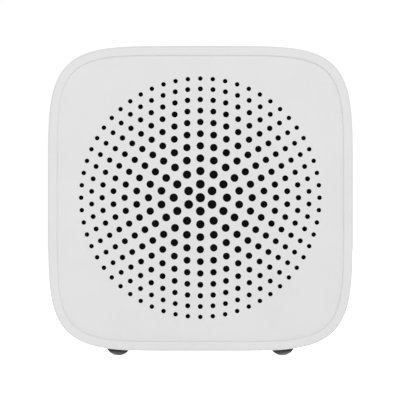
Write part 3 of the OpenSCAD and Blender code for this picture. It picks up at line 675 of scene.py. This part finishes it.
def hook(side, x):
    """Snap hook on the back of the front panel, at one of the face's four sides."""
    outer = HALF - RIM - 0.4
    root, barb = Y_CLOTH - 0.05, Y_FRONT + 3.5
    tip, thick, half_width = barb + 1.6, 1, 2.5
    profile = fillet([
        (root, outer - thick, 0), (root, outer, 0), (barb, outer, 0), (barb, outer + 0.6, 0.12),
        (tip, outer - 0.2, 0.2), (tip, outer - thick, 0.2)])
    bm = prism(profile, x - half_width, x + half_width, lambda u, v, h: (h, u, v))
    bmesh.ops.rotate(bm, verts=bm.verts, matrix=Matrix.Rotation(math.pi / 2 * side, 3, "Y"))
    bmesh.ops.translate(bm, verts=bm.verts, vec=(0, 0, ZC))
    return bm


def front_panel():
    lo, hi = box_mm("front_grille")
    inset = HALF - hi.x
    loops = [(lambda k: outline(inset + k), PANEL_EDGE)]
    for x, z, r in front_holes():
        loops.append((lambda k, x=x, z=z, r=r: circle(r + k, x, z, HOLE_SIDES), HOLE_EDGE))
    face = plate(loops, Y_CLOTH - lo.y, lambda u, v, h: (u, lo.y + h, ZC + v))
    hooks = [hook(side, x) for side in range(4) for x in (-HOOK_X, HOOK_X)]
    piece(join(face, *hooks), "front_panel", SLOTS["front_grille"], replaces=["front_grille"])


YARN = 1.0                      # pitch of the cloth's yarns
YARN_SWING = 0.13               # depth of the weave's relief


def woven_cloth():
    """The acoustic cloth behind the panel, woven yarn over yarn from one sheet."""
    lo, hi = box_mm("grille_cloth")
    radius = hi.x
    step = YARN / 4
    count = int(radius / step)

    def height(x, z):
        u, v = x / YARN, z / YARN
        warp = abs(math.cos(math.pi * (u - round(u)))) + math.cos(math.pi * (v + round(u)))
        weft = abs(math.cos(math.pi * (v - round(v)))) - math.cos(math.pi * (u + round(v)))
        return max(warp, weft) / 2
    index, points, faces = {}, [], []
    for i in range(-count, count + 1):
        for j in range(-count, count + 1):
            x, z = (i + 0.5) * step, (j + 0.5) * step
            if math.hypot(x, z) <= radius:
                index[i, j] = len(points)
                y = (lo.y + hi.y) / 2 + YARN_SWING * (0.5 - height(x, z))
                points.append((x * MM, y * MM, (ZC + z) * MM))
    for (i, j), a in index.items():
        corners = [index.get(k) for k in ((i + 1, j), (i + 1, j + 1), (i, j + 1))]
        if None not in corners:
            faces.append((a, *corners))
    mesh = bpy.data.meshes.new("woven_cloth")
    mesh.from_pydata(points, [], faces)
    mesh.shade_smooth()
    mesh.materials.append(surface(SLOTS["grille_cloth"]))
    cloth = bpy.data.objects.new("woven_cloth", mesh)
    bpy.context.scene.collection.objects.link(cloth)
    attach(cloth, "housing")
    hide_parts("grille_cloth")


# ---------- back ----------

SCREW_HEAD = 2.4                # radius of a cover screw's head


def screw_middles():
    """Places of the four cover screws, from the middle of the face."""
    hi = box_mm("cover_screws")[1]
    x, z = hi.x - SCREW_HEAD, hi.z - ZC - SCREW_HEAD
    return [(a, b) for a in (-x, x) for b in (-z, z)]


def rear_cover():
    lo, hi = box_mm("rear_cover")
    inset = HALF - hi.x
    at = screw_middles()
    socket_z, socket_hole = middle("jack_pin").z - ZC, 4.4
    well, well_y = SCREW_HEAD + 0.2, Y_REAR - 3.2
    hole, cup_r = 1.4, 3.6          # radius of a screw's clearance hole, and of its cup
    label_drop, label_gap = 0.3, 0.4    # of the label area: how deep it lies, and its overlap

    def back_place(u, v, h):
        return (u, Y_REAR - h, ZC + v)

    def label(k):
        x0, x1, z0, z1 = -17 - k, 17 + k, -6 - k, 12 + k
        r = 2 + k
        return fillet([(x0, z0, r), (x1, z0, r), (x1, z1, r), (x0, z1, r)], fineness=5)
    loops = [(lambda k: outline(inset + k), 0.2), (label, 0.1),
             (lambda k: circle(socket_hole + k, 0, socket_z), 0.2)]
    loops += [(lambda k, x=x, z=z: circle(well + k, x, z), 0.2) for x, z in at]
    parts = [plate(loops, Y_REAR - Y_COVER, back_place)]
    parts.append(plate([(lambda k: label(label_gap - k), 0.05)], 1.2,
                       lambda u, v, h: back_place(u, v, h + label_drop)))
    lip_outer, lip_inner, lip_front, lip_root = 9.3, 10.8, Y_COVER - 2, Y_COVER + 0.1
    lip = [(lip_outer, lip_front), (lip_outer, lip_root), (lip_inner, lip_root),
           (lip_inner, lip_front)]
    parts.append(skin([[(x, y, ZC + z) for x, z in outline(i)] for i, y in lip], closed=True))
    for x, z in at:
        cup = fillet([(hole, lo.y, 0.1), (cup_r, lo.y, 0.2), (cup_r, Y_COVER + 0.1, 0),
                      (well, Y_COVER + 0.1, 0), (well, well_y, 0.05), (hole, well_y, 0.05)])
        parts.append(turned(cup, along_y(x, z), sides=48))
    piece(join(*parts), "back_cover", SLOTS["rear_cover"], replaces=["rear_cover"])


def cover_screws():
    """Pan-head screws with a tapered cross recess."""
    lo, hi = box_mm("cover_screws")
    seat, shank = hi.y - 1.5, 1.2
    profile = fillet([
        (0, hi.y, 0), (1.5, hi.y, 0.4), (SCREW_HEAD, hi.y - 0.75, 0.3), (SCREW_HEAD, seat, 0.1),
        (shank, seat, 0.1), (shank, lo.y + 0.8, 0.3), (0, lo.y, 0)], closed=False, fineness=8)
    body = turned(profile, along_y(0, 0), sides=48)
    wings = []
    for turn in (0, math.pi / 2):
        wide = [(-1.45, -0.3), (1.45, -0.3), (1.45, 0.3), (-1.45, 0.3)]
        floor = [(0.55 * u, 0.6 * v) for u, v in wide]
        levels = ((floor, hi.y - 0.9), (wide, hi.y + 0.01), (wide, hi.y + 0.5))
        rows = [[(u, h, ZC + v) for u, v in row] for row, h in levels]
        wing = skin(rows, capped=True)
        bmesh.ops.rotate(wing, verts=wing.verts, cent=(0, 0, ZC),
                         matrix=Matrix.Rotation(turn + math.pi / 8, 3, "Y"))
        wings.append(wing)
    screw = carve(body, wings)
    screws = copied(screw, [(x, 0, z) for x, z in screw_middles()])
    piece(screws, "cover_fasteners", SLOTS["cover_screws"], replaces=["cover_screws"])


# ---------- top ----------

KEYS = {
    "play_key": "play", "mute_key": "mute",
    "volume_down_key": "volume_down", "volume_up_key": "volume_up",
}
KEY_FLANGE = 0.8                # how far a key's flange stands out under the disc
MIC_ORBIT = 15.5
MIC_PORTS = [(MIC_ORBIT * math.cos(math.radians(a)), MIC_ORBIT * math.sin(math.radians(a)))
             for a in (135, 315)]
GUIDE_R = 1.2                   # radius of the light lens
ICON_DEPTH = 0.14
ICON_LINE = 0.42


def control_disc():
    lo, hi = box_mm("control_panel")
    loops = [(lambda k: circle(hi.x - k, sides=160), 0.2)]
    for node in KEYS:
        at = middle(node)
        r = (box_mm(node)[1].x - at.x) - KEY_FLANGE + 0.2
        loops.append((lambda k, at=at, r=r: circle(r + k, at.x, at.y), 0.12))
    for x, y in MIC_PORTS:
        loops.append((lambda k, x=x, y=y: circle(0.6 + k, x, y, 32), 0.1))
    loops.append((lambda k: circle(GUIDE_R + 0.05 + k, sides=48), 0.06))
    piece(plate(loops, hi.z - lo.z, lambda u, v, h: (u, v, hi.z - h)),
          "control_disc", SLOTS["control_panel"], replaces=["control_panel"])


def bar(x0, y0, x1, y1, width=ICON_LINE):
    """Corners of a straight bar between two points."""
    along = Vector((x1 - x0, y1 - y0)).normalized() * (width / 2)
    across = Vector((-along.y, along.x))
    a, b = Vector((x0, y0)), Vector((x1, y1))
    corners = [a - across, b - across, b + across, a + across]
    return fillet([(p.x, p.y, width * 0.35) for p in corners], fineness=5)


def icon_shapes(node):
    """Flat shapes of a key's generic sign, about the key's middle."""
    if node == "play_key":
        return [fillet([(-1.9, -1.2, 0.12), (0.1, 0, 0.12), (-1.9, 1.2, 0.12)]),
                bar(0.85, -1.15, 0.85, 1.15), bar(1.75, -1.15, 1.75, 1.15)]
    if node == "mute_key":
        thin, bow_r, round_r = 0.3, 1.05, 0.48
        cup = [(bow_r * math.cos(t), 0.15 + bow_r * math.sin(t)) for t in
               [math.pi + math.pi * k / 12 for k in range(13)]]
        bow = [bar(*p, *q, thin) for p, q in zip(cup, cup[1:])]
        head = fillet([(-0.5, -0.4, round_r), (0.5, -0.4, round_r),
                       (0.5, 1.6, round_r), (-0.5, 1.6, round_r)])
        return [head, *bow, bar(0, -0.9, 0, -1.6, thin), bar(-0.65, -1.6, 0.65, -1.6, thin)]
    minus = [bar(-1.5, 0, 1.5, 0)]
    return minus if node == "volume_down_key" else minus + [bar(0, -1.5, 0, 1.5)]


def keys():
    disc_under = box_mm("control_panel")[0].z
    for node, body in KEYS.items():
        lo, hi = box_mm(node)
        at = (lo + hi) / 2
        flange = hi.x - at.x
        r = flange - KEY_FLANGE
        flange_top = disc_under - 0.1
        flange_low = flange_top - 0.8
        dish, stem = 0.12, 1.6
        profile = fillet([
            (0, hi.z - dish, 0), (r * 0.45, hi.z - dish * 0.75, 1.5), (r - 0.35, hi.z, 0.3),
            (r, hi.z - 0.3, 0.3), (r, flange_top, 0.05), (flange, flange_top, 0.1),
            (flange, flange_low, 0.1), (stem, flange_low, 0.1), (stem, lo.z, 0.15), (0, lo.z, 0)],
            closed=False, fineness=9)
        floor = hi.z - dish - ICON_DEPTH
        cutters = [prism([(at.x + u, at.y + v) for u, v in shape], floor, hi.z + 1,
                         lambda u, v, h: (u, v, h)) for shape in icon_shapes(node)]
        cap = carve(turned(profile, along_z(at.x, at.y), sides=96), cutters)
        for f in cap.faces:
            if f.normal.z > 0.9 and abs(f.calc_center_median().z - floor) < 0.01:
                f.material_index = 1
        piece(cap, node + "_cap", SLOTS[node], body=body, replaces=[node], inks=["icon_ink"])


def light_lens():
    lo, hi = box_mm("light_guide")
    collar_top = box_mm("control_panel")[0].z
    collar_low, collar_r = collar_top - 0.8, GUIDE_R + 0.8
    profile = fillet([
        (0, hi.z, 0), (GUIDE_R, hi.z - 0.02, 0.12), (GUIDE_R, collar_top, 0.05),
        (collar_r, collar_top, 0.1), (collar_r, collar_low, 0.1), (GUIDE_R, collar_low, 0.05),
        (GUIDE_R, lo.z, 0.1), (0, lo.z, 0)], closed=False)
    piece(turned(profile, along_z(0, 0), sides=48), "light_lens", SLOTS["light_guide"],
          replaces=["light_guide"])


# ---------- moving suspension of the loudspeaker ----------

SHEET_T = 0.4                   # thickness of the surround and the spider


def flexing(bm, name, node):
    """A suspension ring in its slot's material, in place of its CAD node. It rides on no body, and
    its placement is baked into its mesh."""
    ring = piece(bm, name, SLOTS[node], replaces=[node], rides=False)
    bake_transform(ring)


def ribbon(line, thickness):
    """Closed profile of a sheet whose front follows line, in (radius, depth)."""
    return line + [(r, y + thickness) for r, y in reversed(line)]


def surround():
    """Half-round roll between two flat lands, which are glued to the cone and to the frame."""
    hi = box_mm("surround")[1]
    land = hi.y - SHEET_T
    roll, orbit, inner, outer = 1.9, 19.4, 15.8, hi.x
    under = roll - SHEET_T
    turns = [math.pi * k / 24 for k in range(25)]

    def arch(r, angles):
        return [(orbit - r * math.cos(t), land - r * math.sin(t)) for t in angles]
    front = [(inner, land), (inner + 0.8, land)] + arch(roll, turns)
    front += [(outer - 0.8, land), (outer, land)]
    back = [(inner, hi.y), (orbit - under, hi.y)] + arch(under, turns[1:-1])
    back += [(orbit + under, hi.y), (outer, hi.y)]
    flexing(turned(front + back[::-1], along_y(0, 0), sides=128), "roll_surround", "surround")


def spider():
    """Corrugated ring between flat edges, which are glued to the coil's former and the frame."""
    hi = box_mm("spider")[1]
    front = hi.y - SHEET_T
    inner, outer = 7.95, hi.x
    first, last = inner + 0.9, 14.4     # radii between which the corrugations run
    waves, swing, steps = 3, 0.35, 48
    line = [(inner, front)]
    for i in range(steps + 1):
        t = i / steps
        line.append((first + t * (last - first), front - swing * (1 - math.cos(TAU * waves * t))))
    line.append((outer, front))
    flexing(turned(ribbon(line, SHEET_T), along_y(0, 0), sides=128), "corrugated_spider",
            "spider")


def smooth_route(points, rounds=3):
    """Corner cutting that softens a route without moving its ends."""
    p = [Vector(q) for q in points]
    for _ in range(rounds):
        p = [p[0]] + [a.lerp(b, t) for a, b in zip(p, p[1:]) for t in (0.25, 0.75)] + [p[-1]]
    return p


def braided_leads():
    """Two tinsel leads from the terminal strip to the cone, their strands laid in a helix."""
    lo, hi = box_mm("tinsel_leads")
    radius, strands, lay = 0.3, 4, 1.6
    sides = 24
    parts = []
    for s in (-1, 1):
        eyelet, end = lo.y, hi.y
        route = smooth_route([
            (2.2 * s, eyelet, 13.6), (2.2 * s, eyelet + 0.8, 13.6), (2.6 * s, -28.6, 15.2),
            (3 * s, -27.2, 18), (3 * s, -26.8, 20.6), (3 * s, end - 1.2, 20.6), (3 * s, end, 20.6)])
        rows, run = [], 0.0
        for i, p in enumerate(route):
            a, b = route[max(i - 1, 0)], route[min(i + 1, len(route) - 1)]
            run += (p - route[i - 1]).length if i else 0
            along = (b - a).normalized()
            u = along.cross(Vector((1, 0, 0))).normalized()
            v = along.cross(u)
            row = []
            for k in range(sides):
                t = TAU * k / sides
                r = radius * (0.9 + 0.1 * math.cos(strands * (t + TAU * run / lay)))
                q = p + r * (math.cos(t) * u + math.sin(t) * v)
                row.append((q.x, q.y, ZC + q.z))
            rows.append(row)
        parts.append(skin(rows, capped=True))
    leads = piece(join(*parts), "braided_leads", SLOTS["tinsel_leads"],
                  replaces=["tinsel_leads"], rides=False)
    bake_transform(leads)


# ---------- CAD nodes that stay ----------

def dress_frame():
    """Every CAD node that still shows gets its slot's material, broken edges and clean shading."""
    for name, node in frame["nodes"].items():
        if node.hide_render:
            continue
        node.data.materials.clear()
        node.data.materials.append(surface(SLOTS[name]))
        weld = node.modifiers.new("weld", "WELD")
        weld.merge_threshold = 1e-6
        lo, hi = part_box(name)
        bevel = node.modifiers.new("broken edges", "BEVEL")
        bevel.width = min(0.1 * MM, 0.1 * min(hi - lo))
        bevel.segments = 2
        bevel.limit_method, bevel.angle_limit = "ANGLE", math.radians(40)
        flats = node.modifiers.new("flat faces stay flat", "WEIGHTED_NORMAL")
        flats.keep_sharp = True
        node.data.shade_smooth()


# ---------- floor, light and camera ----------

VIEW_DISTANCE = 2.8             # from the camera to the plane of the face, in metres
VIEW_WIDTH = 0.11803            # width of the picture at that plane
VIEW_ASIDE, VIEW_DROP = 0.1, 0.44   # camera's place left of and below the face's middle, in mm
SOFT_LIGHT, WHITE_VIEW = 0.67, 1.02     # world's strength as a light, and as the camera sees it
FLOOR_SEEN, FLOOR_LIT = 0.9, 0.34       # floor's own glow: for the camera, and for other rays
LAMPS = (                       # name, place, size and power of each, in metres and watts
    ("key", (0.3, -1.6, 1.4), 0.8, 10.3),
    ("back", (-1.1, 1.3, 1.1), 0.8, 6.0))


def studio():
    """White surroundings, a pale floor that is clear from below, and two soft lamps."""
    world = bpy.data.worlds.new("studio")
    bpy.context.scene.world = world
    world.use_nodes = True
    tree = world.node_tree
    tree.nodes.clear()
    soft, white = (tree.nodes.new("ShaderNodeBackground") for _ in range(2))
    soft.inputs["Strength"].default_value = SOFT_LIGHT
    white.inputs["Strength"].default_value = WHITE_VIEW
    for shader in (soft, white):
        shader.inputs["Color"].default_value = (1, 1, 1, 1)
    path, mix = tree.nodes.new("ShaderNodeLightPath"), tree.nodes.new("ShaderNodeMixShader")
    out = tree.nodes.new("ShaderNodeOutputWorld")
    tree.links.new(path.outputs["Is Camera Ray"], mix.inputs[0])
    tree.links.new(soft.outputs[0], mix.inputs[1])
    tree.links.new(white.outputs[0], mix.inputs[2])
    tree.links.new(mix.outputs[0], out.inputs[0])

    bpy.ops.mesh.primitive_plane_add(size=12)
    floor = bpy.context.object
    floor.name = "pale_floor"
    sheet = Surface("pale_floor")
    sheet.colour(sheet.blend(sheet.noise(0.002), linear(222), linear(226)))
    sheet.set(Roughness=0.9)
    glow = sheet.node("ShaderNodeEmission", {"Strength": FLOOR_SEEN})
    bare = sheet.node("ShaderNodeEmission", {"Strength": FLOOR_LIT})
    seen = sheet.node("ShaderNodeLightPath").outputs["Is Camera Ray"]
    lit = sheet.node("ShaderNodeMixShader", {0: seen, 1: bare.outputs[0], 2: glow.outputs[0]})
    both = sheet.node("ShaderNodeAddShader", {0: sheet.shader.outputs[0], 1: lit.outputs[0]})
    under = sheet.node("ShaderNodeNewGeometry").outputs["Backfacing"]
    clear = sheet.node("ShaderNodeBsdfTransparent")
    open_below = sheet.node("ShaderNodeMixShader", {
        0: under, 1: both.outputs[0], 2: clear.outputs[0]})
    sheet.tree.links.new(open_below.outputs[0],
                         sheet.tree.nodes["Material Output"].inputs["Surface"])
    floor.data.materials.append(sheet.material)

    target = Vector((0, 0, ZC * MM))
    for name, place, size, power in LAMPS:
        lamp = bpy.data.lights.new(name, "AREA")
        lamp.size, lamp.energy = size, power
        holder = bpy.data.objects.new(name, lamp)
        holder.location = place
        holder.rotation_mode = "QUATERNION"
        holder.rotation_quaternion = (target - Vector(place)).to_track_quat("-Z", "Y")
        holder.visible_camera = False
        bpy.context.scene.collection.objects.link(holder)
    bpy.context.scene.view_settings.view_transform = "Standard"


def camera():
    eye = bpy.data.cameras.new("camera")
    eye.sensor_width = 36
    eye.lens = eye.sensor_width * VIEW_DISTANCE / VIEW_WIDTH
    eye.clip_end = 100
    holder = bpy.data.objects.new("camera", eye)
    holder.location = (-VIEW_ASIDE * MM, Y_FRONT * MM - VIEW_DISTANCE, (ZC - VIEW_DROP) * MM)
    holder.rotation_euler = (math.pi / 2, 0, 0)
    bpy.context.scene.collection.objects.link(holder)
    bpy.context.scene.camera = holder


camera()
case_shell()
feet()
front_panel()
woven_cloth()
rear_cover()
cover_screws()
control_disc()
keys()
light_lens()
surround()
spider()
braided_leads()
dress_frame()
studio()
